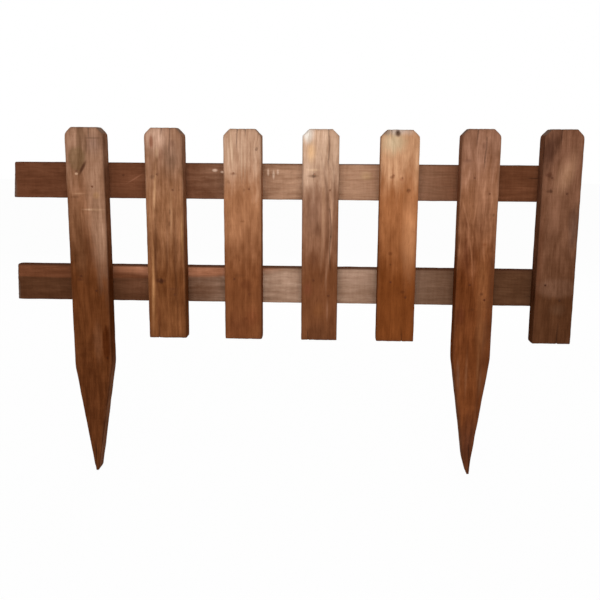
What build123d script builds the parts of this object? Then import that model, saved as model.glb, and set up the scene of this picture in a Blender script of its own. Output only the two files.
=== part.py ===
from build123d import *
import os

# Low wooden picket fence: flat pickets nailed in front of two rails.
# Two of the pickets run on below the others as pointed ground stakes.
# X runs along the fence, Y from the picket fronts to the rail backs, Z is up.
# The origin lies on the front face of the left stake, at the ground line.

# Panel layout: one panel follows the next every rail length
RAIL_LENGTH = 1000.0
PICKET_COUNT = 7
PITCH = RAIL_LENGTH / PICKET_COUNT
LEFT_STAKE = 0
RIGHT_STAKE = PICKET_COUNT - 2
END_PICKET = PICKET_COUNT - 1

# Pickets: flat boards with clipped top corners, held clear of the ground
PICKET_WIDTH = 68.0
PICKET_THICKNESS = 35.0
PICKET_LENGTH = 388.0
CORNER_CLIP = 12.0
GROUND_GAP = 55.0

# Stakes: pickets with a long point and a chiselled tip.
# The point lengths are below the ground line; the right point begins a little above it.
LEFT_POINT_LENGTH = 214.0
RIGHT_POINT_LENGTH = 205.0
RIGHT_SHOULDER = 22.0
CHISEL_WIDTH = 12.0
LEFT_CHISEL_LENGTH = 18.0
RIGHT_CHISEL_LENGTH = 26.0
TIP_WIDTH = 4.0

# Rails: flat boards on edge, set in from both ends of the short pickets.
# Both were nailed on a little further left than one pitch before the left stake.
TOP_RAIL_HEIGHT = 66.0
BOTTOM_RAIL_HEIGHT = 68.0
RAIL_THICKNESS = 24.0
TOP_RAIL_INSET = 63.0
BOTTOM_RAIL_INSET = 64.0
TOP_RAIL_SLIP = 4.0
BOTTOM_RAIL_SLIP = 9.0

# Long edges are planed off a little
ARRIS_RADIUS = 1.5

# Levels and ends that follow from the sizes above
PICKET_FOOT = GROUND_GAP
PICKET_TOP = PICKET_FOOT + PICKET_LENGTH
TOP_RAIL_BASE = PICKET_TOP - TOP_RAIL_INSET - TOP_RAIL_HEIGHT
BOTTOM_RAIL_BASE = PICKET_FOOT + BOTTOM_RAIL_INSET
RAIL_START = -PITCH


def clipped_top():
    """Right half of the clipped top end, from the top edge down to the side."""
    half_width = PICKET_WIDTH / 2
    return [
        (half_width - CORNER_CLIP, PICKET_TOP),
        (half_width, PICKET_TOP - CORNER_CLIP),
    ]


def square_foot():
    """Right half of the saw-cut lower end of a short picket."""
    return [(PICKET_WIDTH / 2, PICKET_FOOT)]


def pointed_foot(shoulder, point_length, chisel_length):
    """Right half of a stake's point: a long taper, then a steeper chiselled tip."""
    return [
        (PICKET_WIDTH / 2, shoulder),
        (CHISEL_WIDTH / 2, chisel_length - point_length),
        (TIP_WIDTH / 2, -point_length),
    ]


def picket(foot):
    """A picket with its front face at Y = 0, centred on X = 0, standing on the given foot."""
    right_side = clipped_top() + foot
    left_side = [(-x, z) for x, z in reversed(right_side)]
    front = make_face(Polyline(*right_side, *left_side, close=True))
    board = extrude(Plane.XZ * front, amount=PICKET_THICKNESS, dir=(0, 1, 0))
    arrises = board.edges().filter_by(Axis.Y, reverse=True)
    return fillet(arrises, ARRIS_RADIUS)


def rail(base_level, height, slip):
    """A rail flat against the backs of the pickets, from one pitch and its slip before the left stake."""
    board = Box(RAIL_LENGTH, RAIL_THICKNESS, height, align=(Align.MIN, Align.MIN, Align.MIN))
    board = Pos(RAIL_START - slip, PICKET_THICKNESS, base_level) * board
    arrises = board.edges().filter_by(Axis.X)
    return fillet(arrises, ARRIS_RADIUS)


def fence_boards():
    """Every board of the panel by name, in its place."""
    feet = {
        LEFT_STAKE: pointed_foot(0, LEFT_POINT_LENGTH, LEFT_CHISEL_LENGTH),
        RIGHT_STAKE: pointed_foot(RIGHT_SHOULDER, RIGHT_POINT_LENGTH, RIGHT_CHISEL_LENGTH),
    }
    names = {LEFT_STAKE: "left_stake", RIGHT_STAKE: "right_stake", END_PICKET: "end_picket"}
    boards = {}
    for index in range(PICKET_COUNT):
        name = names.get(index, f"picket_{index}")
        boards[name] = Pos(index * PITCH, 0, 0) * picket(feet.get(index, square_foot()))
    boards["top_rail"] = rail(TOP_RAIL_BASE, TOP_RAIL_HEIGHT, TOP_RAIL_SLIP)
    boards["bottom_rail"] = rail(BOTTOM_RAIL_BASE, BOTTOM_RAIL_HEIGHT, BOTTOM_RAIL_SLIP)
    return boards


os.makedirs("parts", exist_ok=True)
for board_name, board_shape in fence_boards().items():
    export_step(board_shape, f"parts/{board_name}.step")
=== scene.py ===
# %% [markdown]
# # A low picket fence, dressed board by board
# The fence is one nailed panel: seven pickets in front of two rails, and two of the pickets
# run on down as ground stakes. Its solids come in as a fixed frame, in metres, and every board
# made here takes its size and place from that frame.

# %% Load the frame
import bmesh
import bpy
import math
import numpy as np
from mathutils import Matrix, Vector


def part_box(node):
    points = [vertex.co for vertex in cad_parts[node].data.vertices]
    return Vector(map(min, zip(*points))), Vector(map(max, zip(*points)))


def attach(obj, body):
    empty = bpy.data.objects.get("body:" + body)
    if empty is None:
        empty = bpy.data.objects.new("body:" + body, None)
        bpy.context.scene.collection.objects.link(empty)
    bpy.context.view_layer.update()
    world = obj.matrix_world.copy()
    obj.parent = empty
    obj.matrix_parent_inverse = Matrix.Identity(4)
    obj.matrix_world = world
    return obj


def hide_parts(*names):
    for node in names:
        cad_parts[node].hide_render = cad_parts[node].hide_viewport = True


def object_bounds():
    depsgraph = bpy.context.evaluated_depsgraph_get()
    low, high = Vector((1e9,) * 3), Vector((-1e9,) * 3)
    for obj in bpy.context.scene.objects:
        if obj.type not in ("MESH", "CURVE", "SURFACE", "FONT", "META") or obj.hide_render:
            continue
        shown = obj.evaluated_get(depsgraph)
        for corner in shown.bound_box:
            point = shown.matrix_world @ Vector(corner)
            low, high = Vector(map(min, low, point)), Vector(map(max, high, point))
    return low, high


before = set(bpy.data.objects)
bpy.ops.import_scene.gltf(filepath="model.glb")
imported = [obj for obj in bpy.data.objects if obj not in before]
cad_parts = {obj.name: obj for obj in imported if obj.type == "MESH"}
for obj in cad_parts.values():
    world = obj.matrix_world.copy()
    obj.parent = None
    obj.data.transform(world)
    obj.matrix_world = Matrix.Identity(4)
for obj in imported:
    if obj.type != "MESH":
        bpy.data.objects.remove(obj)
cad_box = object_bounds()
STAKES = ["left_stake", "right_stake"]
SHORT_PICKETS = ["picket_1", "picket_2", "picket_3", "picket_4", "end_picket"]
PICKETS = STAKES + SHORT_PICKETS
RAILS = ["top_rail", "bottom_rail"]
print("frame holds", sorted(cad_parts))

# %% [markdown]
# ## The view
# The camera comes first, because every later choice is judged through it. It stands a little below the
# picket tops, a step and a half away, and looks slightly down, so the lower rail shows its top edge.

# %% Camera
CAMERA_PLACE = (0.4523, -1.4344, 0.4035)
CAMERA_TURN_DEG = (79.267, -0.374, 2.441)
CAMERA_LENS_MM = 47.198
CAMERA_SENSOR_MM = 36.0

bpy.ops.object.camera_add(location=CAMERA_PLACE, rotation=[math.radians(a) for a in CAMERA_TURN_DEG])
camera = bpy.context.object
camera.data.lens = CAMERA_LENS_MM
camera.data.sensor_width = CAMERA_SENSOR_MM
bpy.context.scene.camera = camera
print("camera at", CAMERA_PLACE, "with a", CAMERA_LENS_MM, "mm lens")

# %% [markdown]
# A plain pale floor lies under the stake tips and a white world closes the view. The floor shines a
# little for the camera alone, so it reads as white and still keeps the soft shadow of the fence.

# %% Floor and world
FLOOR_SIZE = 30.0
FLOOR_GLOW = 0.965
FLOOR_TONE = (0.9, 0.9, 0.9, 1)
FLOOR_ROUGHNESS = 0.9
WHITE = (1, 1, 1, 1)
AMBIENT_LEVEL = 0.50


def seen_directly(tree):
    """A factor that is 1 for camera, glossy and transmission rays, and 0 for the light that bounces."""
    path = tree.nodes.new("ShaderNodeLightPath")
    factor = path.outputs["Is Camera Ray"]
    for output in ("Is Glossy Ray", "Is Transmission Ray"):
        either = tree.nodes.new("ShaderNodeMath")
        either.operation = "MAXIMUM"
        tree.links.new(factor, either.inputs[0])
        tree.links.new(path.outputs[output], either.inputs[1])
        factor = either.outputs[0]
    return factor


world = bpy.data.worlds.new("studio_world")
world.use_nodes = True
bpy.context.scene.world = world
tree = world.node_tree
ambient = tree.nodes["Background"]
ambient.inputs["Color"].default_value = WHITE
ambient.inputs["Strength"].default_value = AMBIENT_LEVEL
white = tree.nodes.new("ShaderNodeBackground")
white.inputs["Color"].default_value = WHITE
choose = tree.nodes.new("ShaderNodeMixShader")
tree.links.new(seen_directly(tree), choose.inputs[0])
tree.links.new(ambient.outputs[0], choose.inputs[1])
tree.links.new(white.outputs[0], choose.inputs[2])
tree.links.new(choose.outputs[0], tree.nodes["World Output"].inputs["Surface"])

bpy.ops.mesh.primitive_plane_add(size=FLOOR_SIZE, location=(0, 0, cad_box[0].z))
floor = bpy.context.object
floor.name = "studio_floor"
paper = bpy.data.materials.new("pale_floor")
paper.use_nodes = True
tree = paper.node_tree
matte = tree.nodes["Principled BSDF"]
matte.inputs["Base Color"].default_value = FLOOR_TONE
matte.inputs["Roughness"].default_value = FLOOR_ROUGHNESS
matte.inputs["Specular IOR Level"].default_value = 0.0
glow = tree.nodes.new("ShaderNodeEmission")
share = tree.nodes.new("ShaderNodeMath")
share.operation = "MULTIPLY"
share.inputs[1].default_value = FLOOR_GLOW
choose = tree.nodes.new("ShaderNodeMixShader")
tree.links.new(seen_directly(tree), share.inputs[0])
tree.links.new(share.outputs[0], choose.inputs[0])
tree.links.new(matte.outputs[0], choose.inputs[1])
tree.links.new(glow.outputs[0], choose.inputs[2])
tree.links.new(choose.outputs[0], tree.nodes["Material Output"].inputs["Surface"])
floor.data.materials.append(paper)
print("floor at", round(cad_box[0].z, 4))

# %% [markdown]
# A large soft lamp stands behind and above the camera, as the light in the photograph does: fronts
# and tops are bright, and the sides of the pickets fall into shade. A weaker one lights the back.

# %% Lamps
LAMPS = {
    "front_softbox": {"place": (0.46, -2.60, 1.30), "size": (1.8, 1.2), "power": 42.0},
    "back_softbox": {"place": (0.46, 2.60, 1.50), "size": (1.8, 1.2), "power": 26.0},
}
LAMP_TARGET = Vector((0.43, 0.02, 0.28))

for lamp_name, lamp in LAMPS.items():
    bpy.ops.object.light_add(type="AREA", location=lamp["place"])
    light = bpy.context.object
    light.name = lamp_name
    light.data.shape = "RECTANGLE"
    light.data.size, light.data.size_y = lamp["size"]
    light.data.energy = lamp["power"]
    towards = LAMP_TARGET - Vector(lamp["place"])
    light.rotation_euler = towards.to_track_quat("-Z", "Y").to_euler()
    print(lamp_name, lamp["power"], "W")

# %% [markdown]
# ## The boards
# A picket is one sawn board, so it starts as a cube primitive of the straight part's size. Its clipped
# top is the end face extruded up and narrowed, and a stake's point is the lower end drawn out twice:
# once for the long taper and once for the chiselled tip. That keeps every cross-section a ring of the
# same four edges, so the whole board can then be cut into one even grid for wear and grain.
#
# No two real boards are sawn quite alike. `SAWN_OFF` shifts each picket's left edge, right edge and top
# by a millimetre or two, and `POINTS` says where a stake's taper begins, how long and how wide its
# chiselled tip is, and how far the axe let the taper and the tip drift off the middle.

# %% Board blanks
CORNER_CLIP = 0.012
TIP_WIDTH = 0.004
POINTS = {
    "left_stake": {"shoulder": 0.0, "chisel": 0.018, "width": 0.010, "drifts": (-0.001, 0.0)},
    "right_stake": {"shoulder": 0.022, "chisel": 0.026, "width": 0.013, "drifts": (0.0007, 0.003)},
}
SAWN_OFF = {
    "left_stake": (-0.0023, 0.0, 0.0005),
    "picket_1": (0.0002, 0.0018, 0.0),
    "picket_2": (0.0009, 0.0014, -0.0011),
    "picket_3": (0.0007, -0.0009, -0.0009),
    "picket_4": (-0.0018, -0.0005, -0.0013),
    "right_stake": (-0.0012, -0.0002, 0.0009),
    "end_picket": (0.0009, 0.0023, 0.0010),
}
ACROSS_X, DEPTH_Y, UP_Z = 0, 1, 2
SQUARE_ON = 0.9


def let_go():
    """Back to object mode with nothing selected, so that the next operator acts on one piece."""
    if bpy.context.mode != "OBJECT":
        bpy.ops.object.mode_set(mode="OBJECT")
    bpy.ops.object.select_all(action="DESELECT")


def straight_board(name, low, high):
    """A cube primitive brought to the size and place of a straight board."""
    let_go()
    middle = [(a + b) / 2 for a, b in zip(low, high)]
    bpy.ops.mesh.primitive_cube_add(size=1, location=middle)
    board = bpy.context.object
    board.name = board.data.name = name
    board.scale = [b - a for a, b in zip(low, high)]
    bpy.ops.object.transform_apply(location=True, rotation=True, scale=True)
    return board


def draw_out_end(board, direction, length, new_width, drift=0.0):
    """Extrude the upper (1) or lower (-1) end face along Z, to a new width and a little aside."""
    bpy.ops.object.mode_set(mode="EDIT")
    bpy.ops.mesh.select_mode(type="FACE")
    bpy.ops.mesh.select_all(action="DESELECT")
    edit = bmesh.from_edit_mesh(board.data)
    end = next(face for face in edit.faces if face.normal.z * direction > SQUARE_ON)
    end.select_set(True)
    across = [vertex.co.x for vertex in end.verts]
    old_width = max(across) - min(across)
    middle = end.calc_center_median()
    step = Vector((drift, 0, direction * length))
    bmesh.update_edit_mesh(board.data)
    bpy.ops.mesh.extrude_region_move(TRANSFORM_OT_translate={"value": step})
    bpy.ops.transform.resize(value=(new_width / old_width, 1, 1), center_override=middle + step)
    bpy.ops.object.mode_set(mode="OBJECT")


def picket_blank(node):
    """A clipped picket, with a point below the ground line if it is a stake."""
    low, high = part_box(node)
    left, right, top = SAWN_OFF[node]
    point = POINTS.get(node)
    straight_low = (low.x + left, low.y, point["shoulder"] if point else low.z)
    straight_high = (high.x + right, high.y, high.z + top - CORNER_CLIP)
    board = straight_board(node + "_board", straight_low, straight_high)
    draw_out_end(board, 1, CORNER_CLIP, straight_high[0] - straight_low[0] - 2 * CORNER_CLIP)
    if point:
        taper = point["shoulder"] - low.z - point["chisel"]
        taper_drift, tip_drift = point["drifts"]
        draw_out_end(board, -1, taper, point["width"], taper_drift)
        draw_out_end(board, -1, point["chisel"], TIP_WIDTH, tip_drift)
    return board


boards = {node: picket_blank(node) for node in PICKETS}
boards.update({node: straight_board(node + "_board", *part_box(node)) for node in RAILS})
blank_faces = {
    node: [(np.array(face.normal), np.array(board.data.vertices[face.vertices[0]].co))
           for face in board.data.polygons]
    for node, board in boards.items()
}
print("blanks", {node: len(board.data.polygons) for node, board in boards.items()})

# %% [markdown]
# Wear needs points to move. Grain runs along a board, so its relief changes quickly across the board
# and slowly along it: the grid is fine across and coarse along. Subdividing only the edges that run one
# way cuts a face into even strips, the way a loop cut would, but it needs no window. A picket is cut
# stretch by stretch, so that its clipped top, its straight part and its point each get even steps. One
# subdivide makes at most a hundred cuts, so a rail is cut along its length twice. Last, the saw wasn't
# held quite square at the rails' left ends, so those end faces are turned a little.

# %% Cut the boards into a grid
GRID_ALONG = 0.0042
GRID_ACROSS = 0.0011
GRID_DEPTH = 0.0016
MOST_CUTS = 100
SAME_LEVEL = 1e-6
LEVEL_DIGITS = 4
RAIL_END_TURN_DEG = {"top_rail": -4.4, "bottom_rail": -2.4}


def run_of(edge):
    """The axis that an edge runs along: up if it rises at all, else across, else into the board."""
    reach = edge.verts[1].co - edge.verts[0].co
    return next(axis for axis in (UP_Z, ACROSS_X, DEPTH_Y) if abs(reach[axis]) > SAME_LEVEL)


def runs_along(edit, axis, by_stretch):
    """The edges along one axis, in one group or in a group for each stretch of the board."""
    groups = {}
    for edge in edit.edges:
        if run_of(edge) == axis:
            middle = round((edge.verts[0].co[axis] + edge.verts[1].co[axis]) / 2, LEVEL_DIGITS)
            groups.setdefault(middle if by_stretch else 0.0, []).append(edge)
    return groups


def cut_runs(board, axis, step, by_stretch=False):
    """Cut the edges along one axis into steps of about the given length, stretch by stretch if asked."""
    bpy.context.view_layer.objects.active = board
    bpy.ops.object.mode_set(mode="EDIT")
    bpy.ops.mesh.select_mode(type="EDGE")
    edit = bmesh.from_edit_mesh(board.data)
    for stretch in list(runs_along(edit, axis, by_stretch)):
        bpy.ops.mesh.select_all(action="DESELECT")
        edit = bmesh.from_edit_mesh(board.data)
        edges = runs_along(edit, axis, by_stretch)[stretch]
        for edge in edges:
            edge.select_set(True)
        cuts = min(MOST_CUTS, round(max(edge.calc_length() for edge in edges) / step) - 1)
        bmesh.update_edit_mesh(board.data)
        if cuts > 0:
            bpy.ops.mesh.subdivide(number_cuts=cuts)
    bpy.ops.object.mode_set(mode="OBJECT")


def turn_left_end(board, degrees):
    """Turn a rail's left end face about its middle."""
    bpy.ops.object.mode_set(mode="EDIT")
    bpy.ops.mesh.select_mode(type="VERT")
    bpy.ops.mesh.select_all(action="DESELECT")
    edit = bmesh.from_edit_mesh(board.data)
    left = min(vertex.co.x for vertex in edit.verts)
    end = [vertex for vertex in edit.verts if vertex.co.x < left + SAME_LEVEL]
    for vertex in end:
        vertex.select_set(True)
    middle = sum((vertex.co for vertex in end), Vector()) / len(end)
    bmesh.update_edit_mesh(board.data)
    bpy.ops.transform.rotate(value=math.radians(degrees), orient_axis="Y", center_override=middle)
    bpy.ops.object.mode_set(mode="OBJECT")


for node, board in boards.items():
    let_go()
    if node in RAILS:
        cut_runs(board, ACROSS_X, GRID_ALONG)
        cut_runs(board, ACROSS_X, GRID_ALONG)
        cut_runs(board, UP_Z, GRID_ACROSS)
    else:
        cut_runs(board, UP_Z, GRID_ALONG, by_stretch=True)
        cut_runs(board, ACROSS_X, GRID_ACROSS)
    cut_runs(board, DEPTH_Y, GRID_DEPTH)
    if node in RAILS:
        turn_left_end(board, RAIL_END_TURN_DEG[node])
print("grid", {node: len(board.data.polygons) for node, board in boards.items()})

# %% [markdown]
# ## Wear
# Sawn softwood doesn't stay crisp: its long edges wear round, it dries and splits from the ends, it
# stands a little proud at a knot, and a hammer leaves a dent at every nail. Each of these gets a
# weight on the grid's points, so that a modifier can move only those points and the finish can darken
# the same places later. The weights come from plain measures on the board, in millimetres.

# %% Measures on a board
MM = 1000.0


def measures(node, points):
    """Across, depth and along of each point, in millimetres: across its width and along its grain."""
    low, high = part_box(node)
    middle = (low + high) / 2
    depth = (points[:, 1] - low.y) * MM
    if node in RAILS:
        return (points[:, 2] - middle.z) * MM, depth, points[:, 0] * MM
    return (points[:, 0] - middle.x) * MM, depth, points[:, 2] * MM


def grid_points(board):
    """The places of a board's points, one row each."""
    places = np.empty(len(board.data.vertices) * 3)
    board.data.vertices.foreach_get("co", places)
    return places.reshape(-1, 3)


print("left stake measures", [(round(m.min(), 1), round(m.max(), 1)) for m in
                              measures("left_stake", grid_points(boards["left_stake"]))])

# %% [markdown]
# An arris is the edge where a board's front or back meets its sides. A point's distance from it is its
# depth below the next face of the blank, so the planes of the blank's few faces are enough to find it.
# The same planes tell which points lie on end grain, where the saw cut across the fibres.

# %% Arris and end grain weights
ARRIS_REACH = 3.2
END_SLOPE = 0.3
NEXT_FACE_TURN = 0.5


def arris_weights(node, points):
    """1 on the edges of the front and the back, falling to 0 a few millimetres away."""
    normals = np.array([normal for normal, corner in blank_faces[node]])
    depths = np.array([(corner - points) @ normal for normal, corner in blank_faces[node]])
    nearest = depths.argmin(axis=0)
    distance = np.empty(len(points))
    for index, normal in enumerate(normals):
        here = nearest == index
        turned = abs(normals[:, DEPTH_Y] - normal[DEPTH_Y]) > NEXT_FACE_TURN
        distance[here] = depths[turned][:, here].min(axis=0)
    return np.exp(-(distance * MM / ARRIS_REACH) ** 2)


def end_weights(node, points):
    """1 on the faces that cut across the grain: tops, clipped corners, feet and rail ends."""
    grain_axis = ACROSS_X if node in RAILS else UP_Z
    depths = np.array([(corner - points) @ normal for normal, corner in blank_faces[node]])
    crosses = np.array([abs(normal[grain_axis]) > END_SLOPE for normal, corner in blank_faces[node]])
    return crosses[depths.argmin(axis=0)].astype(float)


for node in STAKES:
    ends = end_weights(node, grid_points(boards[node]))
    print(node, "has", int(ends.sum()), "points on end grain")

# %% [markdown]
# Checks are the short cracks that drying opens along the grain, mostly from an end. Each is given by
# its place across the board and by where it starts and stops along it. Knots are given by their place
# and half width. Both lists are read off the boards in the photograph.

# %% Checks, knots and nails
CHECKS = {
    "left_stake": [(9, 448, 418), (-4, -214, -150)],
    "picket_1": [(12, 448, 392), (-16, 53, 92), (-2, 448, 426)],
    "picket_2": [(-8, 448, 402), (6, 448, 424)],
    "picket_3": [(14, 448, 372), (19, 300, 180), (-20, 53, 80)],
    "picket_4": [(-16, 448, 420), (10, 53, 84)],
    "right_stake": [(7, 428, 372), (-8, 448, 412), (3, -204, -140)],
    "end_picket": [(-3, 448, 414), (12, 53, 96)],
    "top_rail": [(11, 858, 800)],
    "bottom_rail": [(-14, 858, 812)],
}
KNOTS = {
    "left_stake": [(27, 14, 2.4)],
    "picket_1": [(-9, 163, 4.5)],
    "picket_2": [(27, 406, 3.0)],
    "picket_3": [(-12, 360, 3.6), (20, 250, 1.8)],
    "picket_4": [(-7, 439, 3.8), (4, 357, 1.8), (-13, 200, 2.0)],
    "right_stake": [(27, 292, 2.4)],
    "end_picket": [(-17, 336, 3.2)],
    "top_rail": [(10, 60, 2.6), (-14, 690, 3.0)],
    "bottom_rail": [(-6, 130, 2.8), (4, 560, 2.4)],
}
NAIL_SPREAD = 14.0
NAIL_DRIFT = {
    "left_stake": (-3, 4), "picket_1": (2, -1), "picket_2": (-1, 2), "picket_3": (3, 1),
    "picket_4": (2, 0), "right_stake": (4, -3), "end_picket": (-2, -2),
}
CHECK_WIDTH = 0.9
CHECK_FADE = 14.0
CHECK_WANDER = 1.2
CHECK_WAVE = 13.0
LEAST_WEIGHT = 0.004
FRONT_HALF = 14.0
DENT_RADIUS = 3.4


def nail_spots(node):
    """Two nails at each rail, on a slant across the board, as (across, along)."""
    spots = []
    for rail in RAILS:
        low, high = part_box(rail)
        level = (low.z + high.z) / 2 * MM
        across, along = NAIL_DRIFT[node]
        spots.append((across - NAIL_SPREAD, level + along + NAIL_SPREAD))
        spots.append((across + NAIL_SPREAD, level + along - NAIL_SPREAD))
    return spots


def check_weights(node, points):
    """1 along the middle of each check on the front of the board, fading at its inner end."""
    across, depth, along = measures(node, points)
    weights = np.zeros(len(points))
    for place, start, stop in CHECKS[node]:
        line = place + CHECK_WANDER * np.sin(along / CHECK_WAVE + place)
        groove = np.exp(-((across - line) / CHECK_WIDTH) ** 2)
        inward = (stop - along) * np.sign(stop - start)
        outward = (along - start) * np.sign(stop - start)
        span = np.clip(inward / CHECK_FADE, 0, 1) * (outward > 0)
        weights = np.maximum(weights, groove * span)
    return weights * (depth < FRONT_HALF)


def spot_weights(node, points, spots):
    """1 at the middle of each round spot on the front of the board, given as (across, along, radius)."""
    across, depth, along = measures(node, points)
    weights = np.zeros(len(points))
    for place, level, radius in spots:
        weights = np.maximum(weights, np.exp(-((across - place) ** 2 + (along - level) ** 2) / radius ** 2))
    return weights * (depth < FRONT_HALF)


def mark(board, name, weights):
    """Keep weights on a board twice: as a vertex group for modifiers, as an attribute for its finish."""
    group = board.vertex_groups.new(name=name)
    for index in np.nonzero(weights > LEAST_WEIGHT)[0]:
        group.add([int(index)], float(weights[index]), "REPLACE")
    attribute = board.data.attributes.new(name + "_weight", "FLOAT", "POINT")
    attribute.data.foreach_set("value", weights.astype(np.float32))


for node, board in boards.items():
    points = grid_points(board)
    nails = [(u, v, DENT_RADIUS) for u, v in nail_spots(node)] if node in PICKETS else []
    mark(board, "arris", arris_weights(node, points))
    mark(board, "end", end_weights(node, points))
    mark(board, "check", check_weights(node, points))
    mark(board, "knot", spot_weights(node, points, KNOTS[node]))
    mark(board, "dent", spot_weights(node, points, nails))
print("marked", len(boards), "boards")

# %% [markdown]
# Now the modifiers move the marked points. Smooth wears the arrises round. Displace with a cloud
# texture nicks them, and once more, through a stretched empty, it raises the soft grain that weather
# leaves on a board: an empty that is long along the grain stretches the clouds the same way. Each board's
# empty stands a step further on, so that no two boards get the same relief.

# %% Wear the boards
ARRIS_ROUNDS = 7
ARRIS_EASE = 0.5
NICK_SIZE = 0.022
NICK_DEPTH = 0.0010
NICK_LEVEL = 0.45
GRAIN_ACROSS = 0.005
GRAIN_ALONG = 0.16
GRAIN_DEPTH = 0.0007
GUIDE_STEP = 0.37
CLOUD_DEPTH = 2
CLOUD_UNIT = 1.0
CHECK_DEPTH = 0.0012
KNOT_HEIGHT = 0.0006
DENT_DEPTH = 0.0007
SMOOTH_ANGLE = math.radians(40)


def clouds(name, size):
    """A cloud texture for Displace."""
    texture = bpy.data.textures.new(name, "CLOUDS")
    texture.noise_scale = size
    texture.noise_depth = CLOUD_DEPTH
    return texture


def press(board, name, strength, group=None, texture=None, level=0.5, guide=None):
    """Displace a board along its normals, where a group says so, and apply it."""
    push = board.modifiers.new(name, "DISPLACE")
    push.strength = strength
    push.mid_level = level
    if group:
        push.vertex_group = group
    if texture:
        push.texture = texture
        push.texture_coords = "OBJECT" if guide else "LOCAL"
        push.texture_coords_object = guide
    bpy.ops.object.modifier_apply(modifier=push.name)


nick_clouds = clouds("nick_clouds", NICK_SIZE)
grain_clouds = clouds("grain_clouds", CLOUD_UNIT)
for number, (node, board) in enumerate(boards.items()):
    let_go()
    bpy.ops.object.empty_add(location=(0, GUIDE_STEP * number, 0))
    guide = bpy.context.object
    guide.scale = (GRAIN_ALONG, GRAIN_ACROSS, GRAIN_ACROSS) if node in RAILS else (
        GRAIN_ACROSS, GRAIN_ACROSS, GRAIN_ALONG)
    bpy.context.view_layer.update()
    board.select_set(True)
    bpy.context.view_layer.objects.active = board
    ease = board.modifiers.new("ease", "SMOOTH")
    ease.factor = ARRIS_EASE
    ease.iterations = ARRIS_ROUNDS
    ease.vertex_group = "arris"
    bpy.ops.object.modifier_apply(modifier=ease.name)
    press(board, "nicks", -NICK_DEPTH, "arris", nick_clouds, level=NICK_LEVEL)
    press(board, "grain", GRAIN_DEPTH, None, grain_clouds, guide=guide)
    press(board, "checks", -CHECK_DEPTH, "check", level=0.0)
    press(board, "knots", KNOT_HEIGHT, "knot", level=0.0)
    press(board, "dents", -DENT_DEPTH, "dent", level=0.0)
    bpy.ops.object.shade_smooth_by_angle(angle=SMOOTH_ANGLE)
    bpy.data.objects.remove(guide)
print("worn", {node: [round(d, 4) for d in board.dimensions] for node, board in boards.items()})

# %% [markdown]
# ## Nails
# Each picket is held by two nails at each rail, set on a slant so that they don't split one line of
# grain. One head is modelled: a low cylinder whose front face is inset and pushed out to a shallow
# dome. The rest are copies with their own mesh, joined into one piece for each picket.

# %% Nail heads
NAIL_RADIUS = 0.0018
NAIL_HEIGHT = 0.0022
NAIL_SIDES = 20
NAIL_FRONT = -0.0001
NAIL_DOME = ((0.0003, 0.00022), (0.0006, 0.00014), (0.0006, 0.00005))


def nail_head():
    """One nail head at the origin, facing -Y, with a domed front and a worn rim."""
    let_go()
    bpy.ops.mesh.primitive_cylinder_add(vertices=NAIL_SIDES, radius=NAIL_RADIUS, depth=NAIL_HEIGHT,
                                        rotation=(math.pi / 2, 0, 0))
    head = bpy.context.object
    bpy.ops.object.transform_apply(location=True, rotation=True, scale=True)
    bpy.ops.object.mode_set(mode="EDIT")
    bpy.ops.mesh.select_mode(type="FACE")
    bpy.ops.mesh.select_all(action="DESELECT")
    edit = bmesh.from_edit_mesh(head.data)
    front = next(face for face in edit.faces if face.normal.y < -SQUARE_ON)
    front.select_set(True)
    bmesh.update_edit_mesh(head.data)
    for inset, rise in NAIL_DOME:
        bpy.ops.mesh.inset(thickness=inset)
        bpy.ops.transform.translate(value=(0, -rise, 0))
    bpy.ops.object.mode_set(mode="OBJECT")
    return head


pattern = nail_head()
nail_sets = {}
for node in PICKETS:
    low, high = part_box(node)
    heads = []
    for across, along in nail_spots(node):
        head = pattern.copy()
        head.data = pattern.data.copy()
        bpy.context.collection.objects.link(head)
        head.location = ((low.x + high.x) / 2 + across / MM, NAIL_FRONT + NAIL_HEIGHT / 2, along / MM)
        heads.append(head)
    let_go()
    for head in heads:
        head.select_set(True)
    bpy.context.view_layer.objects.active = heads[0]
    bpy.ops.object.join()
    bpy.ops.object.transform_apply(location=True, rotation=True, scale=True)
    bpy.ops.object.shade_smooth_by_angle(angle=SMOOTH_ANGLE)
    nail_sets[node] = bpy.context.object
    nail_sets[node].name = nail_sets[node].data.name = node + "_nails"
bpy.data.objects.remove(pattern)
print("nails", {node: len(piece.data.polygons) for node, piece in nail_sets.items()})

# %% [markdown]
# ## Stained wood
# Every board is sawn softwood under a thin red-brown stain that the weather has bleached unevenly, and its
# colour also carries painted sheen towards the picket tops and the rails' middles, and painted shade towards
# the feet and the rail ends. One texture can't do that for nine boards, because each shows its own rings,
# knots and pale places. So a few small helpers stand for the moves of a finisher, and each board's finish
# is built from them.
# The first helpers only keep the node trees short.

# %% Node helpers
USUAL_NOISE = (0.3, 0.7)
NOISE_MIDDLE = 0.5


def tone(red, green, blue):
    """A colour given as screen bytes, turned into the linear numbers that a shader wants."""
    shares = [byte / 255 for byte in (red, green, blue)]
    return tuple(s / 12.92 if s <= 0.04045 else ((s + 0.055) / 1.055) ** 2.4 for s in shares) + (1.0,)


def put(socket, value):
    """Link an output to an input, or set the input to a plain value."""
    if isinstance(value, bpy.types.NodeSocket):
        socket.id_data.links.new(value, socket)
    else:
        socket.default_value = value


def maths(tree, operation, *values):
    """One Math node."""
    node = tree.nodes.new("ShaderNodeMath")
    node.operation = operation
    for socket, value in zip(node.inputs, values):
        put(socket, value)
    return node.outputs[0]


def fade(tree, value, start, stop):
    """0 at start and 1 at stop, with a soft bend at both."""
    node = tree.nodes.new("ShaderNodeMapRange")
    node.interpolation_type = "SMOOTHSTEP"
    for name, setting in (("Value", value), ("From Min", start), ("From Max", stop)):
        put(node.inputs[name], setting)
    return node.outputs[0]


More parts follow.
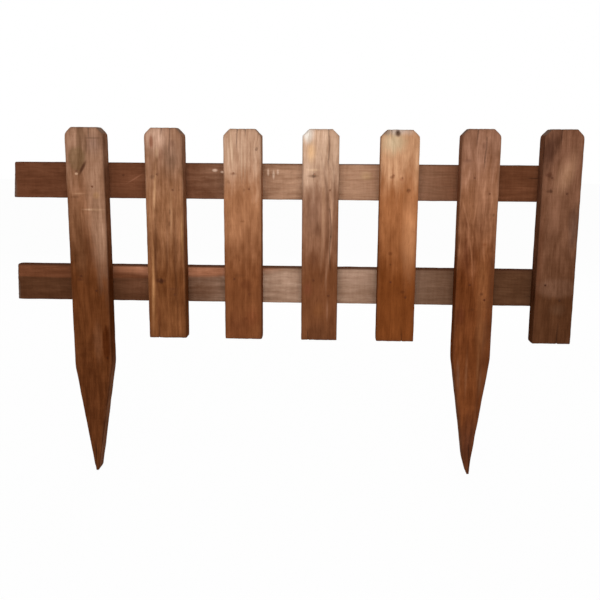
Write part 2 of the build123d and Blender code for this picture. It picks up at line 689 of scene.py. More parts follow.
def spread(tree, noise, lowest, highest):
    """A noise value's usual range, stretched to the range that is asked for."""
    node = tree.nodes.new("ShaderNodeMapRange")
    put(node.inputs["Value"], noise)
    put(node.inputs["From Min"], USUAL_NOISE[0])
    put(node.inputs["From Max"], USUAL_NOISE[1])
    put(node.inputs["To Min"], lowest)
    put(node.inputs["To Max"], highest)
    return node.outputs[0]


def cover(tree, below, above, share, mode="MIX"):
    """One colour laid over another."""
    node = tree.nodes.new("ShaderNodeMix")
    node.data_type = "RGBA"
    node.blend_type = mode
    put(node.inputs["Factor"], share)
    put(node.inputs[6], below)
    put(node.inputs[7], above)
    return node.outputs[2]


def weight(tree, name):
    """A weight that the wear cells left on the board's points."""
    node = tree.nodes.new("ShaderNodeAttribute")
    node.attribute_name = name + "_weight"
    return node.outputs["Fac"]


print("red-brown stain as a shader sees it", [round(c, 3) for c in tone(118, 66, 36)])

# %% [markdown]
# Grain is noise that is long one way. Object coordinates, turned into millimetres across, into and
# along the board, let one noise serve a standing picket and a lying rail, and they carry the figure
# through the board, so that the sides and the sawn ends belong to the same piece of wood. Real grain
# also wanders, so a second set of measures is pushed from side to side by two slow noises.

# %% Measures and grain noise in a material
SWAY_CELL = (44.0, 170.0)
RIPPLE_CELL = (11.0, 34.0)
RIPPLE = 3.0


def board_measures(tree, node, seed):
    """The board's across, depth and along in millimetres, and one vector of them for noise."""
    low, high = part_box(node)
    middle = (low + high) / 2
    start = (0, low.y, middle.z) if node in RAILS else (middle.x, low.y, 0)
    split = tree.nodes.new("ShaderNodeSeparateXYZ")
    put(split.inputs[0], tree.nodes.new("ShaderNodeTexCoord").outputs["Object"])
    x, y, z = [maths(tree, "MULTIPLY_ADD", split.outputs[axis], MM, -MM * start[axis]) for axis in range(3)]
    across, along = (z, x) if node in RAILS else (x, z)
    vector = tree.nodes.new("ShaderNodeCombineXYZ")
    put(vector.inputs[0], across)
    put(vector.inputs[1], maths(tree, "ADD", y, seed))
    put(vector.inputs[2], along)
    return across, y, along, vector.outputs[0]


def grain_noise(tree, vector, across, along, detail=2.0):
    """Noise with soft cells of the given width and length in millimetres."""
    stretch = tree.nodes.new("ShaderNodeVectorMath")
    stretch.operation = "MULTIPLY"
    put(stretch.inputs[0], vector)
    put(stretch.inputs[1], (1 / across, 1 / across, 1 / along))
    node = tree.nodes.new("ShaderNodeTexNoise")
    put(node.inputs["Vector"], stretch.outputs[0])
    put(node.inputs["Scale"], 1.0)
    put(node.inputs["Detail"], detail)
    return node.outputs["Fac"]


def wavy(tree, measured, sway):
    """The same measures on a board whose grain wanders from side to side by about the given sway."""
    across, depth, along, vector = measured
    for amount, cell in ((sway, SWAY_CELL), (RIPPLE, RIPPLE_CELL)):
        drift = maths(tree, "SUBTRACT", grain_noise(tree, vector, *cell), NOISE_MIDDLE)
        across = maths(tree, "MULTIPLY_ADD", drift, amount, across)
    split = tree.nodes.new("ShaderNodeSeparateXYZ")
    put(split.inputs[0], vector)
    bent = tree.nodes.new("ShaderNodeCombineXYZ")
    put(bent.inputs[0], across)
    put(bent.inputs[1], split.outputs[1])
    put(bent.inputs[2], along)
    return across, depth, along, bent.outputs[0]


print("the grain wanders over cells of", SWAY_CELL, "and", RIPPLE_CELL, "mm")

# %% [markdown]
# Growth rings are cylinders about the pith of the log. A board is a cut through them, so the distance
# from a slightly leaning pith, divided by the ring width, gives lines on an edge-sawn face and arches on a
# flat-sawn one. Knots push the rings aside, which a small bulge in that distance copies, and a slow
# noise keeps the rings from being evenly wide. Stain hides much of this: each board shows its figure best
# at one level, and the sawn ends show it everywhere.

# %% Growth rings and knots
BOARD_MIDDLE = 250.0
BULGE_REACH = (2.4, 5.5)
BULGE_HEIGHT = 1.8
UNEVEN_CELL = (13.0, 240.0)
UNEVEN_RINGS = 2.2
LATE_WOOD_RISE = (0.30, 0.86)
LATE_WOOD_FALL = (1.0, 0.92)
END_FIGURE = 0.6
KNOT_RIM_CELL = (3.0, 4.0)
KNOT_RIM = (1.1, 0.55)
KNOT_LENGTH = 1.3


def off_centre(tree, measure, centre, reach):
    """How far a measure is from a centre, squared, with 1 at the given reach."""
    distance = maths(tree, "DIVIDE", maths(tree, "SUBTRACT", measure, centre), reach)
    return maths(tree, "MULTIPLY", distance, distance)


def oval(tree, across, along, place, reach):
    """Squared distance from an oval's centre, 1 on the oval itself."""
    return maths(tree, "ADD", off_centre(tree, across, place[0], reach[0]),
                 off_centre(tree, along, place[1], reach[1]))


def bell(tree, squared_distance):
    """1 where the distance is 0, falling away smoothly."""
    return maths(tree, "EXPONENT", maths(tree, "MULTIPLY", squared_distance, -1.0))


def pith_distance(tree, measured, pith, lean):
    """Distance from the pith, which leans a little away from the board's length."""
    across, depth, along, vector = measured
    rise = maths(tree, "SUBTRACT", along, BOARD_MIDDLE)
    squares = 0.0
    for measure, start, slope in zip((across, depth), pith, lean):
        away = maths(tree, "SUBTRACT", measure, start)
        away = maths(tree, "SUBTRACT", away, maths(tree, "MULTIPLY", rise, slope))
        squares = maths(tree, "MULTIPLY_ADD", away, away, squares)
    return maths(tree, "SQRT", squares)


def growth_rings(tree, measured, wood, knots):
    """The dark late wood of each ring, as strong as the board's figure has it at that level."""
    across, depth, along, vector = measured
    radius = pith_distance(tree, measured, wood["pith"], wood["lean"])
    for place, level, size in knots:
        near = oval(tree, across, along, (place, level), [reach * size for reach in BULGE_REACH])
        radius = maths(tree, "MULTIPLY_ADD", bell(tree, near), BULGE_HEIGHT * size, radius)
    uneven = maths(tree, "SUBTRACT", grain_noise(tree, vector, *UNEVEN_CELL), NOISE_MIDDLE)
    radius = maths(tree, "MULTIPLY_ADD", uneven, UNEVEN_RINGS * wood["ring"], radius)
    within = maths(tree, "FRACT", maths(tree, "DIVIDE", radius, wood["ring"]))
    late = maths(tree, "MULTIPLY", fade(tree, within, *LATE_WOOD_RISE), fade(tree, within, *LATE_WOOD_FALL))
    strength, level, reach = wood["figure"]
    shown = maths(tree, "MULTIPLY", bell(tree, off_centre(tree, along, level, reach)), strength)
    shown = maths(tree, "MAXIMUM", shown, maths(tree, "MULTIPLY", weight(tree, "end"), END_FIGURE))
    return maths(tree, "MULTIPLY", late, shown)


def knot_faces(tree, measured, knots):
    """1 inside each knot, with an uneven rim."""
    across, depth, along, vector = measured
    ragged = maths(tree, "SUBTRACT", grain_noise(tree, vector, *KNOT_RIM_CELL), NOISE_MIDDLE)
    inside = 0.0
    for place, level, size in knots:
        rim = maths(tree, "SQRT", oval(tree, across, along, (place, level), (size, KNOT_LENGTH * size)))
        inside = maths(tree, "MAXIMUM", inside, fade(tree, maths(tree, "ADD", ragged, rim), *KNOT_RIM))
    return inside


print("knots on the boards", sum(len(knots) for knots in KNOTS.values()))

# %% [markdown]
# Weather works on the faces in patches: it bleaches, yellows or greys an oval stretch of a board, and
# the edge of the patch runs out along the grain. So a patch is an oval whose distance is shaken by the
# same streaks that colour the wood, and it stays on the front, because sun and rain reach little else.
# Two short forms of it come up often: a streak is narrow and may lean or bow as the grain does, and a
# scar is a small mark with a clear edge.
# The palest patches, near the picket tops and in the rails' middle bays, are partly painted sheen.

# %% Weather patches
PATCH_SHAKE = 1.1
BROAD_IN_SHAKE = 0.4
FRONT_SKIN = (7.0, 1.5)
STREAK_SHAKE = 0.4
SCAR_CORE = 0.25
SCAR_SHAKE = 0.4


def patch(colour, at, reach, share, core=0.0, shake=1.0, lean=0.0, bow=0.0):
    """One weathered oval: tone, centre and half size in millimetres, and how well it covers."""
    return {"tone": tone(*colour), "at": at, "reach": reach, "share": share,
            "core": core, "shake": shake, "lean": lean, "bow": bow}


def streak(colour, at, reach, share, lean=0.0, bow=0.0):
    """A narrow run of paler or darker grain."""
    return patch(colour, at, reach, share, shake=STREAK_SHAKE, lean=lean, bow=bow)


def scar(colour, at, reach, share):
    """A small mark with a clear edge, such as a scrape or a bruise."""
    return patch(colour, at, reach, share, core=SCAR_CORE, shake=SCAR_SHAKE)


def weather(tree, measured, noises, colour, patches):
    """Lay a board's weathered patches over its stain, in the order that they are listed; the palest near the
    tops are partly painted sheen.
    """
    across, depth, along, vector = measured
    front = fade(tree, depth, *FRONT_SKIN)
    shake = maths(tree, "MULTIPLY", noises["mottle"], 1 - BROAD_IN_SHAKE)
    shake = maths(tree, "MULTIPLY_ADD", noises["broad"], BROAD_IN_SHAKE, shake)
    shake = maths(tree, "MULTIPLY", maths(tree, "SUBTRACT", shake, NOISE_MIDDLE), PATCH_SHAKE)
    for spot in patches:
        away = maths(tree, "SUBTRACT", along, spot["at"][1])
        slide = maths(tree, "MULTIPLY", away, maths(tree, "MULTIPLY_ADD", away, spot["bow"], spot["lean"]))
        near = oval(tree, maths(tree, "SUBTRACT", across, slide), along, spot["at"], spot["reach"])
        edge = maths(tree, "MULTIPLY_ADD", shake, spot["shake"], maths(tree, "SQRT", near))
        share = maths(tree, "MULTIPLY", fade(tree, edge, 1.0, spot["core"]), front)
        colour = cover(tree, colour, spot["tone"], maths(tree, "MULTIPLY", share, spot["share"]))
    return colour


print("weather reaches", FRONT_SKIN[0], "mm into a board")

# %% [markdown]
# Under the patches lies the stain itself: three tones follow each other along the board with ragged
# borders. It is darkest at the foot of a picket and at the ends of a rail, and palest at a picket's top
# and in the middle of a rail. The pale places are partly bleached wood and partly painted sheen, and the
# dark foot and ends partly damp wood and partly painted shade. A stake was pointed with an axe after it was
# sawn, so the sides of its point are paler. Over it all run streaks of every width. They darken and
# lighten what lies under them, and blue most of all, because thick stain is redder than thin stain.

# %% Stain and streaks
LINES = {"broad": (8.0, 150.0, 2.5), "narrow": (3.0, 60.0, 2.0), "fibre": (1.2, 18.0, 2.0),
         "fleck": (2.0, 8.0, 2.0)}
STAINS = {"mottle": (10.0, 34.0, 4.0), "blotch": (34.0, 50.0, 3.0), "saw": (36.0, 4.2, 3.0)}
STREAKS = {"broad": 0.8, "narrow": 0.7, "fibre": 0.6, "mottle": 1.2, "blotch": 0.8}
STAIN_DEPTH = (1.0, 1.2, 1.4)
RAGGED = 55.0
AXE_CUT_TONE = tone(128, 90, 68)
AXE_LEVELS = (30.0, -30.0)
AXE_FRONT = (3.0, 9.0)
AXE_BACK = (35.0, 29.0)
AXE_SHARE = 0.8


def board_noises(tree, vector, lines):
    """Noise along the wandering grain for fibres, and on the straight board for stains and saw marks."""
    noises = {name: grain_noise(tree, lines, *cell) for name, cell in LINES.items()}
    noises.update({name: grain_noise(tree, vector, *cell) for name, cell in STAINS.items()})
    return noises


def stain_and_sheen_at(tree, level, wood):
    """The stain at a level of the board: three tones that follow each other, the pale ones partly painted
    sheen and the dark ones partly painted shade.
    """
    foot, middle, top = [tone(*colour) for colour in wood["tones"]]
    first, second, third = wood["levels"]
    colour = cover(tree, foot, middle, fade(tree, level, first, second))
    return cover(tree, colour, top, fade(tree, level, second, third))


def stain_and_sheen_along(tree, along, noises, wood):
    """The stain along a board, with its painted sheen and shade, and ragged borders between its tones."""
    ragged = maths(tree, "ADD", maths(tree, "ADD", noises["mottle"], noises["blotch"]), noises["broad"])
    level = maths(tree, "MULTIPLY_ADD", maths(tree, "SUBTRACT", ragged, 3 * NOISE_MIDDLE), RAGGED, along)
    return stain_and_sheen_at(tree, level, wood)


def axe_cut(tree, depth, along, colour):
    """The paler sides of a stake's point, below the ground line and between the front and the back."""
    share = maths(tree, "MULTIPLY", fade(tree, along, *AXE_LEVELS), AXE_SHARE)
    for border in (AXE_FRONT, AXE_BACK):
        share = maths(tree, "MULTIPLY", share, fade(tree, depth, *border))
    return cover(tree, colour, AXE_CUT_TONE, share)


def streaked(tree, colour, noise, change):
    """Darken and lighten a colour by a noise, up to the given share."""
    deep = [1 - change * depth for depth in STAIN_DEPTH] + [1.0]
    pale = [1 + change * depth for depth in STAIN_DEPTH] + [1.0]
    tint = cover(tree, deep, pale, spread(tree, noise, 0.0, 1.0))
    return cover(tree, colour, tint, 1.0, "MULTIPLY")


print("streak widths in mm", {name: cell[0] for name, cell in {**LINES, **STAINS}.items()})

# %% [markdown]
# The last layers are shade and dirt. The sides are darkened with painted shade. The sawn ends get a grey
# that is partly weathered end grain and partly painted light and shade on the tops and clipped corners.
# Flecks of pitch and knots are darker, dirt gathers round the nails, the arrises are darker, and the checks
# and the top edge of a rail are darkened with painted shade.

# %% Shade and dirt
RING_TINT = tone(186, 158, 138)
FLECK_TINT = tone(206, 190, 180)
# Painted shade for the sides of a board.
SIDE_PAINTED_SHADE = tone(228, 216, 208)
END_TONE = tone(118, 102, 90)
KNOT_TONE = tone(46, 25, 16)
ARRIS_TONE = tone(82, 50, 34)
SOOT_AND_CRACK_SHADE = tone(40, 25, 18)
FLECK_LEVELS = (0.62, 0.74)
FLECK_SHARE = 0.5
SIDE_DEPTHS = (0.6, 5.0)
END_SHARE = 0.55
KNOT_SHARE = 0.38
ARRIS_SHARES = (0.05, 0.55)
DENT_SHARE = 0.14
CHECK_SHARE = 0.55
# Painted shade on a rail's top edge and top face.
RAIL_TOP_PAINTED_SHADE = (31.0, 32.8)
RAIL_TOP_SHADE_SHARE = 0.8


def shaded(tree, depth, noises, rings, colour):
    """Rings and flecks on every face, painted shade on the sides, and a grey on the sawn ends that is partly
    painted light and shade.
    """
    flecks = maths(tree, "MULTIPLY", fade(tree, noises["fleck"], *FLECK_LEVELS), FLECK_SHARE)
    colour = cover(tree, colour, RING_TINT, rings, "MULTIPLY")
    colour = cover(tree, colour, FLECK_TINT, flecks, "MULTIPLY")
    # Painted shade: the sides are darker than the front.
    colour = cover(tree, colour, SIDE_PAINTED_SHADE, fade(tree, depth, *SIDE_DEPTHS), "MULTIPLY")
    # The grey of weathered end grain, partly painted light and shade on the tops and clipped corners.
    colour = cover(tree, colour, END_TONE, maths(tree, "MULTIPLY", weight(tree, "end"), END_SHARE))
    return colour


def dirt_and_painted_shade(tree, node, measured, noises, colour):
    """Dark knots and arrises, dirt round the nails, and painted shade in the checks and on a rail's top
    edge.
    """
    knot = maths(tree, "MULTIPLY", knot_faces(tree, measured, KNOTS[node]), KNOT_SHARE)
    colour = cover(tree, colour, KNOT_TONE, knot)
    # Darkens a ragged band along each arris.
    worn = maths(tree, "MULTIPLY", weight(tree, "arris"), spread(tree, noises["narrow"], *ARRIS_SHARES))
    colour = cover(tree, colour, ARRIS_TONE, worn)
    colour = cover(tree, colour, SOOT_AND_CRACK_SHADE, maths(tree, "MULTIPLY", weight(tree, "dent"), DENT_SHARE))
    # Painted shade in the checks.
    colour = cover(tree, colour, SOOT_AND_CRACK_SHADE, maths(tree, "MULTIPLY", weight(tree, "check"), CHECK_SHARE))
    if node in RAILS:
        # Painted shade on a rail's top edge and top face.
        rail_top_shade = fade(tree, measured[0], *RAIL_TOP_PAINTED_SHADE)
        colour = cover(tree, colour, ARRIS_TONE, maths(tree, "MULTIPLY", rail_top_shade, RAIL_TOP_SHADE_SHARE))
    return colour


# The share of a check is painted shade in the crack.
print("dirt covers", CHECK_SHARE, "of a check and", DENT_SHARE, "of a dent")

# %% [markdown]
# One board's finish puts the layers together in the order in which the wood got them. Bump reads the
# same rings and fibre as the colour, so the grain that looks dark also stands in relief. A weathered
# stain has no gloss left, so the shader's specular level is zero.

# %% Build a board finish
RING_RELIEF = 1.2
FIBRE_RELIEF = 0.9
BUMP_STRENGTH = 0.6
BUMP_DEPTH = 0.0008


def stained_board(node, wood):
    """The finish of one board."""
    finish = bpy.data.materials.new(node + "_stain")
    finish.use_nodes = True
    tree = finish.node_tree
    measured = board_measures(tree, node, wood["seed"])
    across, depth, along, vector = measured
    grain = wavy(tree, measured, wood["sway"])
    noises = board_noises(tree, vector, grain[3])
    rings = growth_rings(tree, grain, wood, KNOTS[node])
    # The stain along the board is partly painted sheen, pale towards the picket tops and the rails' middles,
    # and partly painted shade, dark towards the feet and the rail ends.
    colour = stain_and_sheen_along(tree, along, noises, wood)
    colour = weather(tree, measured, noises, colour, wood["patches"])
    if node in STAKES:
        colour = axe_cut(tree, depth, along, colour)
    for name, strength in {**STREAKS, "saw": wood["saw"]}.items():
        colour = streaked(tree, colour, noises[name], wood["contrast"] * strength)
    colour = shaded(tree, depth, noises, rings, colour)
    colour = dirt_and_painted_shade(tree, node, measured, noises, colour)

    bump = tree.nodes.new("ShaderNodeBump")
    fibre = maths(tree, "MULTIPLY", noises["fibre"], FIBRE_RELIEF)
    put(bump.inputs["Height"], maths(tree, "MULTIPLY_ADD", rings, RING_RELIEF, fibre))
    put(bump.inputs["Strength"], BUMP_STRENGTH)
    put(bump.inputs["Distance"], BUMP_DEPTH)
    shader = tree.nodes["Principled BSDF"]
    put(shader.inputs["Base Color"], colour)
    put(shader.inputs["Normal"], bump.outputs[0])
    put(shader.inputs["Specular IOR Level"], 0.0)
    return finish


print("a finish has", 2 + len(STREAKS), "layers of stain and streaks under its shade and dirt")

# %% [markdown]
# Now each board is described by what the photograph shows of it. `tones` and `levels` are the stain along
# the board and where one tone has become the next; the pale tones are partly painted sheen and the dark
# ones partly painted shade. `contrast` is how streaky it is, `pith`, `lean`, `ring` and `sway` are the log
# that it came from, and `figure` says how clearly, and at which level, the rings show. `saw` is how far the
# saw marks across the grain still show, and `patches` are laid on in their order. The stakes come first:
# dark and damp below, with a paler right half above, partly bleached and partly painted sheen.

# %% Stake woods
WOODS = {
    "left_stake": {
        "contrast": 0.165, "seed": 110, "pith": (-60, 70), "lean": (0.02, 0.05), "ring": 5.2, "sway": 16,
        "figure": (0.10, 100, 300), "levels": (165, 310, 415), "saw": 0.32,
        "tones": ((98, 54, 27), (134, 90, 63), (148, 109, 85)),
        "patches": [
            # The pale right half is partly painted sheen.
            patch((172, 132, 106), at=(22, 285), reach=(30, 180), share=0.8, lean=-0.06),
            patch((108, 69, 44), at=(-22, 240), reach=(22, 95), share=0.6, core=0.4, shake=0.5, lean=-0.12),
            patch((128, 97, 82), at=(16, 414), reach=(22, 30), share=0.65),
            patch((108, 76, 53), at=(-6, 412), reach=(12, 46), share=0.6, core=0.6, shake=0.5),
            patch((116, 87, 59), at=(-15, 387), reach=(19, 27), share=0.7, core=0.6, shake=0.4),
            patch((72, 40, 26), at=(-5, 371), reach=(5, 17), share=0.85, core=0.25, shake=0.3, lean=0.5),
            scar((208, 170, 140), at=(-17, 360), reach=(4, 3), share=0.8),
            scar((100, 68, 50), at=(14, 424), reach=(22, 2.4), share=0.5),
            scar((196, 156, 124), at=(14, 295), reach=(28, 2.6), share=0.6),
            scar((176, 132, 100), at=(-14, 324), reach=(18, 2.2), share=0.45),
            scar((96, 60, 40), at=(-21, 318), reach=(11, 4), share=0.5),
            scar((178, 134, 88), at=(18, 321), reach=(9, 9), share=0.4),
            scar((80, 42, 24), at=(-19, 164), reach=(8, 4), share=0.6),
            patch((84, 44, 21), at=(-8, -70), reach=(60, 170), share=0.85),
            patch((119, 75, 49), at=(10, 45), reach=(13, 52), share=0.6, core=0.2, shake=0.6),
            patch((78, 36, 13), at=(26, 42), reach=(9, 42), share=0.85, core=0.6, shake=0.25),
        ],
    },
    "right_stake": {
        "contrast": 0.17, "seed": 1160, "pith": (34, 64), "lean": (-0.03, 0.05), "ring": 5.4, "sway": 24,
        "figure": (0.25, 235, 110), "levels": (165, 310, 415), "saw": 0.25,
        "tones": ((108, 58, 29), (144, 96, 67), (146, 103, 80)),
        "patches": [
            patch((162, 114, 86), at=(10, 320), reach=(28, 80), share=0.6),
            patch((146, 92, 56), at=(14, 165), reach=(18, 110), share=0.7),
            patch((138, 88, 54), at=(15, 65), reach=(15, 60), share=0.5),
            patch((98, 52, 32), at=(-20, 220), reach=(13, 55), share=0.4),
            patch((88, 42, 24), at=(-25, 108), reach=(12, 26), share=0.6, core=0.25),
            streak((176, 124, 92), at=(-22, 288), reach=(3, 50), share=0.5, lean=-0.28),
            streak((104, 58, 36), at=(-19, 268), reach=(4, 56), share=0.55, lean=-0.26),
            streak((168, 114, 80), at=(-13, 240), reach=(3, 64), share=0.5, lean=-0.17),
            streak((98, 52, 30), at=(-17, 215), reach=(5, 66), share=0.55, lean=-0.10),
            streak((160, 104, 70), at=(-7, 195), reach=(3, 60), share=0.4, lean=-0.08),
            scar((104, 66, 50), at=(4, 415), reach=(5, 10), share=0.5),
            scar((110, 72, 56), at=(-24, 388), reach=(10, 5), share=0.5),
            scar((120, 66, 38), at=(13, 238), reach=(6, 5), share=0.5),
            scar((84, 44, 26), at=(12, 147), reach=(5, 4), share=0.6),
            scar((84, 46, 26), at=(-3, 118), reach=(5, 4), share=0.5),
            streak((124, 82, 58), at=(-24, -8), reach=(5, 44), share=0.7, lean=-0.06),
            streak((126, 80, 52), at=(-9, -5), reach=(4, 62), share=0.7),
            streak((134, 86, 54), at=(12, 10), reach=(4, 56), share=0.7),
            streak((128, 84, 56), at=(17, -25), reach=(4, 40), share=0.6, lean=0.05),
            patch((88, 50, 34), at=(0, -150), reach=(24, 90), share=0.8),
        ],
    },
}
print("stakes described", len(WOODS))

# %% [markdown]
# The short pickets differ more. The first is streaky and orange, the next three are almost white at the
# top, partly bleached and partly painted sheen, and grow darker towards the foot, and the end picket is the
# darkest of all. On the third the grain sweeps from the top left to the right edge and back again, so its
# streaks bow.

# %% Short picket woods
WOODS.update({
    "picket_1": {
        "contrast": 0.17, "seed": 320, "pith": (-120, 10), "lean": (0.02, 0.0), "ring": 9.5, "sway": 16,
        "figure": (0.30, 220, 260), "levels": (150, 300, 415), "saw": 0.22,
        "tones": ((118, 71, 40), (150, 103, 71), (156, 115, 90)),
        "patches": [
            # The pale top patch is partly painted sheen.
            patch((212, 172, 148), at=(-12, 430), reach=(30, 44), share=0.65),
            patch((118, 88, 70), at=(16, 388), reach=(26, 48), share=0.6),
            scar((142, 80, 56), at=(-21, 418), reach=(5, 16), share=0.65),
            scar((112, 76, 58), at=(17, 415), reach=(6, 10), share=0.55),
            scar((122, 80, 58), at=(-4, 396), reach=(7, 20), share=0.45),
            scar((210, 170, 138), at=(-11, 399), reach=(5, 13), share=0.5),
            scar((104, 70, 52), at=(-20, 355), reach=(7, 6), share=0.5),
            streak((206, 158, 118), at=(-17, 330), reach=(4, 62), share=0.6, lean=0.07),
            streak((192, 138, 92), at=(-24, 150), reach=(5, 120), share=0.6, lean=0.02),
            streak((88, 50, 30), at=(-18, 200), reach=(5, 140), share=0.65, bow=0.0003),
            streak((94, 48, 26), at=(-15, 95), reach=(5, 52), share=0.5, lean=-0.04),
            streak((98, 60, 38), at=(4, 235), reach=(4, 90), share=0.5, lean=0.02),
            patch((196, 148, 110), at=(12, 290), reach=(5, 60), share=0.5),
            scar((100, 62, 42), at=(10, 292), reach=(3, 8), share=0.5),
            scar((104, 64, 42), at=(9, 270), reach=(3, 8), share=0.5),
            streak((92, 54, 32), at=(19, 200), reach=(5, 150), share=0.6, bow=0.0002),
            streak((176, 124, 88), at=(26, 235), reach=(5, 75), share=0.5),
            streak((168, 126, 74), at=(32, 250), reach=(4, 65), share=0.4),
            scar((84, 46, 30), at=(-10, 164), reach=(13, 6), share=0.75),
            scar((100, 60, 40), at=(12, 149), reach=(13, 3), share=0.5),
        ],
    },
    "picket_2": {
        "contrast": 0.12, "seed": 530, "pith": (-110, 30), "lean": (0.0, 0.0), "ring": 6.0, "sway": 10,
        "figure": (0.30, 440, 70), "levels": (165, 310, 415), "saw": 0.22,
        # The pale top tone is partly painted sheen and the dark foot tone partly painted shade.
        "tones": ((120, 70, 40), (160, 108, 74), (190, 151, 124)),
        "patches": [
            # The pale streaks at the top are partly painted sheen.
            streak((230, 196, 168), at=(-24, 398), reach=(3, 48), share=0.55, lean=-0.05),
            streak((228, 196, 164), at=(-18, 404), reach=(3, 46), share=0.55, lean=-0.05),
            streak((232, 198, 170), at=(0, 392), reach=(3, 58), share=0.55),
            streak((228, 192, 164), at=(6, 390), reach=(3, 52), share=0.5),
            scar((132, 92, 66), at=(-15, 362), reach=(9, 4), share=0.5),
            scar((134, 92, 66), at=(-24, 348), reach=(5, 5), share=0.45),
            scar((118, 74, 48), at=(4, 333), reach=(3, 5), share=0.5),
            scar((120, 74, 48), at=(1, 276), reach=(6, 2.6), share=0.5),
            scar((106, 62, 36), at=(-6, 176), reach=(15, 4), share=0.5),
            patch((98, 52, 29), at=(8, 159), reach=(18, 14), share=0.5, core=0.25),
            scar((90, 46, 26), at=(6, 94), reach=(5, 5), share=0.5),
            patch((106, 58, 34), at=(-12, 75), reach=(38, 50), share=0.5),
            patch((134, 74, 45), at=(18, 98), reach=(18, 28), share=0.4),
        ],
    },
    "picket_3": {
        "contrast": 0.122, "seed": 740, "pith": (22, 60), "lean": (0.09, 0.03), "ring": 6.4, "sway": 18,
        "figure": (0.25, 430, 70), "levels": (170, 295, 405), "saw": 0.22,
        # The pale top tone is partly painted sheen and the dark foot tone partly painted shade.
        "tones": ((115, 69, 42), (144, 102, 77), (200, 163, 136)),
        "patches": [
            # The pale, almost white top left is painted sheen.
            patch((226, 178, 128), at=(-17, 401), reach=(13, 26), share=0.7),
            patch((240, 230, 218), at=(-28, 436), reach=(22, 26), share=0.9, core=0.1),
            patch((140, 102, 82), at=(-12, 300), reach=(26, 60), share=0.5),
            patch((108, 70, 50), at=(-6, 262), reach=(14, 20), share=0.55),
            patch((106, 64, 42), at=(-11, 212), reach=(14, 34), share=0.55),
            patch((128, 70, 48), at=(-22, 152), reach=(12, 22), share=0.45),
            patch((136, 84, 48), at=(-1, 112), reach=(16, 22), share=0.4),
            streak((190, 146, 114), at=(6, 290), reach=(5, 130), share=0.4, bow=-0.0004),
            streak((94, 58, 38), at=(15, 275), reach=(5, 175), share=0.55, bow=-0.0010),
            streak((196, 150, 118), at=(21, 275), reach=(4, 150), share=0.4, bow=-0.0009),
            streak((106, 70, 50), at=(26, 320), reach=(4, 125), share=0.5, bow=-0.0009),
            streak((214, 178, 152), at=(12, 395), reach=(4, 40), share=0.5, lean=-0.35),
            streak((112, 70, 46), at=(29, 250), reach=(7, 90), share=0.5),
            streak((168, 124, 96), at=(12, 175), reach=(3, 45), share=0.3),
            streak((158, 114, 88), at=(15, 112), reach=(3, 32), share=0.35),
            scar((120, 86, 64), at=(-14, 359), reach=(15, 4), share=0.6),
            scar((222, 186, 150), at=(-14, 370), reach=(16, 3), share=0.45),
            patch((92, 54, 33), at=(0, 68), reach=(44, 30), share=0.6),
        ],
    },
    "picket_4": {
        "contrast": 0.10, "seed": 950, "pith": (-30, 80), "lean": (0.02, 0.06), "ring": 5.6, "sway": 14,
        "figure": (0.15, 360, 120), "levels": (160, 310, 405), "saw": 0.18,
        # The pale top tone is partly painted sheen and the dark foot tone partly painted shade.
        "tones": ((116, 62, 28), (160, 101, 62), (198, 149, 112)),
        "patches": [
            patch((206, 144, 100), at=(21, 262), reach=(22, 125), share=0.65),
            # The pale top patches are partly painted sheen.
            patch((206, 184, 150), at=(-14, 420), reach=(32, 32), share=0.8),
            patch((208, 194, 184), at=(-6, 441), reach=(40, 13), share=0.75),
            scar((130, 112, 96), at=(-26, 438), reach=(12, 9), share=0.6),
            scar((84, 58, 42), at=(-6, 435), reach=(7, 8), share=0.9),
            scar((112, 68, 42), at=(-15, 358), reach=(6, 4), share=0.55),
            scar((150, 88, 58), at=(3, 355), reach=(6, 5), share=0.5),
            scar((106, 62, 36), at=(16, 335), reach=(6, 4.5), share=0.6),
            scar((94, 48, 24), at=(-14, 220), reach=(6, 5), share=0.55),
            scar((88, 44, 22), at=(10, 149), reach=(6, 4), share=0.55),
        ],
    },
    "end_picket": {
        "contrast": 0.14, "seed": 1370, "pith": (46, 66), "lean": (0.04, 0.02), "ring": 4.8, "sway": 12,
        "figure": (0.10, 250, 300), "levels": (130, 280, 415), "saw": 0.35,
        "tones": ((85, 51, 31), (113, 75, 54), (122, 82, 61)),
        "patches": [
            patch((168, 125, 96), at=(8, 366), reach=(22, 52), share=0.75, lean=0.3),
            patch((150, 106, 82), at=(-7, 300), reach=(20, 60), share=0.55),
            patch((76, 46, 33), at=(-25, 405), reach=(27, 62), share=0.9, core=0.15, lean=0.25),
            scar((74, 38, 26), at=(-22, 364), reach=(9, 6), share=0.5),
            scar((66, 36, 22), at=(-20, 335), reach=(9, 4), share=0.45),
            patch((86, 62, 52), at=(28, 270), reach=(14, 60), share=0.6),
            patch((100, 60, 40), at=(-30, 220), reach=(10, 150), share=0.6),
            patch((122, 86, 66), at=(4, 160), reach=(44, 24), share=0.5, core=0.45, shake=0.9),
            patch((104, 72, 52), at=(8, 120), reach=(20, 16), share=0.5),
        ],
    },
})
print("pickets described", len(WOODS))

# %% [markdown]
# Both rails are pale in the middle bays, partly bleached and partly painted sheen, and dark at their ends,
# partly painted shade. The lower rail has a redder band along the top on its left half.

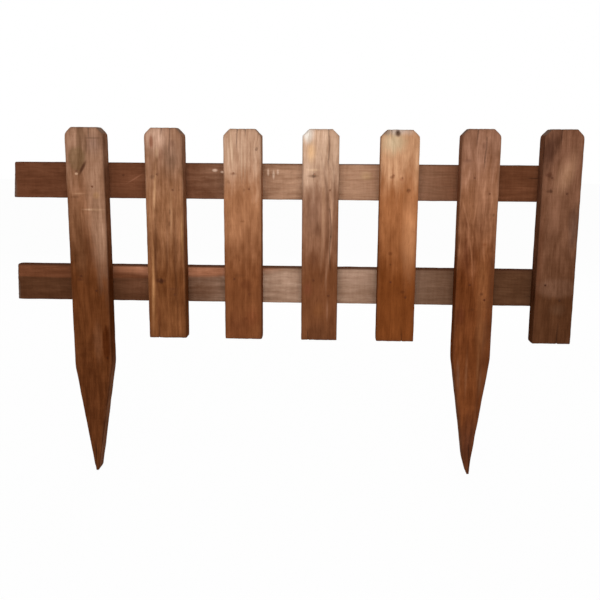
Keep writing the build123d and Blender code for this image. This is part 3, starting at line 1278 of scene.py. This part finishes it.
# %% Rail woods
WOODS.update({
    "top_rail": {
        "contrast": 0.12, "seed": 1580, "pith": (-40, 60), "lean": (0.01, 0.02), "ring": 5.0, "sway": 14,
        "figure": (0.12, 400, 400), "levels": (150, 440, 750), "saw": 0.5,
        "tones": ((104, 63, 42), (178, 137, 109), (104, 62, 40)),
        # The pale middle tone is partly painted sheen and the dark end tones partly painted shade.
        "patches": [
            patch((86, 48, 30), at=(0, -95), reach=(50, 90), share=0.45),
            patch((126, 78, 54), at=(4, 76), reach=(46, 52), share=0.5),
            streak((156, 104, 78), at=(4, 82), reach=(2.5, 24), share=0.5, lean=0.6),
            scar((222, 188, 164), at=(20, 232), reach=(4, 7), share=0.7),
            scar((222, 188, 164), at=(17, 246), reach=(3, 5), share=0.7),
            scar((230, 198, 174), at=(17, 331), reach=(9, 3), share=0.6),
            scar((230, 198, 174), at=(13, 341), reach=(12, 3), share=0.6),
            scar((226, 192, 168), at=(18, 349), reach=(7, 3), share=0.5),
            patch((198, 162, 118), at=(12, 512), reach=(12, 16), share=0.45),
        ],
    },
    "bottom_rail": {
        "contrast": 0.12, "seed": 1790, "pith": (30, 70), "lean": (0.0, 0.01), "ring": 5.4, "sway": 12,
        "figure": (0.12, 400, 400), "levels": (100, 400, 760), "saw": 0.5,
        # The pale middle tone is partly painted sheen and the dark end tones partly painted shade.
        "tones": ((86, 53, 34), (172, 138, 115), (92, 60, 40)),
        "patches": [
            patch((118, 76, 54), at=(-2, 82), reach=(42, 60), share=0.6),
            patch((112, 74, 53), at=(-8, 215), reach=(34, 66), share=0.55),
            patch((110, 65, 42), at=(34, -20), reach=(27, 380), share=0.9, core=0.86, shake=0.25),
            patch((176, 118, 88), at=(36, 180), reach=(27, 200), share=0.95, core=0.55, shake=0.45),
            patch((184, 150, 128), at=(22, 500), reach=(26, 90), share=0.6),
        ],
    },
})
for node, board in boards.items():
    board.data.materials.append(stained_board(node, WOODS[node]))
print("finished", len(WOODS), "boards")

# %% [markdown]
# The nails were driven before the boards were stained, so each iron head carries the stain of its own
# board, only darker, with the same painted sheen and shade along the board, and shows a little rust. One
# fine noise mixes iron and rust and makes the rust rougher than the iron.

# %% Nail finish
IRON_TINT = tone(196, 184, 178)
RUST_TINT = tone(224, 200, 186)
RUST_SCALE = 900.0
RUST_LEVELS = (0.42, 0.60)
IRON_ROUGHNESS = (0.45, 0.8)
IRON_SPECULAR = 0.1


def stained_iron(node, wood):
    """The finish of one picket's nail heads."""
    finish = bpy.data.materials.new(node + "_iron")
    finish.use_nodes = True
    tree = finish.node_tree
    along = board_measures(tree, node, wood["seed"])[2]
    grit = tree.nodes.new("ShaderNodeTexNoise")
    put(grit.inputs["Vector"], tree.nodes.new("ShaderNodeTexCoord").outputs["Object"])
    put(grit.inputs["Scale"], RUST_SCALE)
    tint = cover(tree, IRON_TINT, RUST_TINT, fade(tree, grit.outputs["Fac"], *RUST_LEVELS))
    shader = tree.nodes["Principled BSDF"]
    put(shader.inputs["Base Color"], cover(tree, stain_and_sheen_at(tree, along, wood), tint, 1.0, "MULTIPLY"))
    put(shader.inputs["Roughness"], spread(tree, grit.outputs["Fac"], *IRON_ROUGHNESS))
    put(shader.inputs["Specular IOR Level"], IRON_SPECULAR)
    return finish


for node, piece in nail_sets.items():
    piece.data.materials.append(stained_iron(node, WOODS[node]))
print("nail sets finished", len(nail_sets))

# %% [markdown]
# ## Join the frame
# Each board stands in for the solid of the same name, and everything rides on the one body, because a
# nailed panel has no moving part. The nail heads add to the solids and replace none.

# %% Join the frame
for node, board in boards.items():
    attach(board, "root")
    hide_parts(node)
for piece in nail_sets.values():
    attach(piece, "root")
print("boards", len(boards), "and nail sets", len(nail_sets), "ride on root")

# %% [markdown]
# Last, the plain view transform keeps the tones as they were written.

# %% Finish
bpy.context.scene.view_settings.view_transform = "Standard"
print("solids", [[round(c, 4) for c in corner] for corner in cad_box])
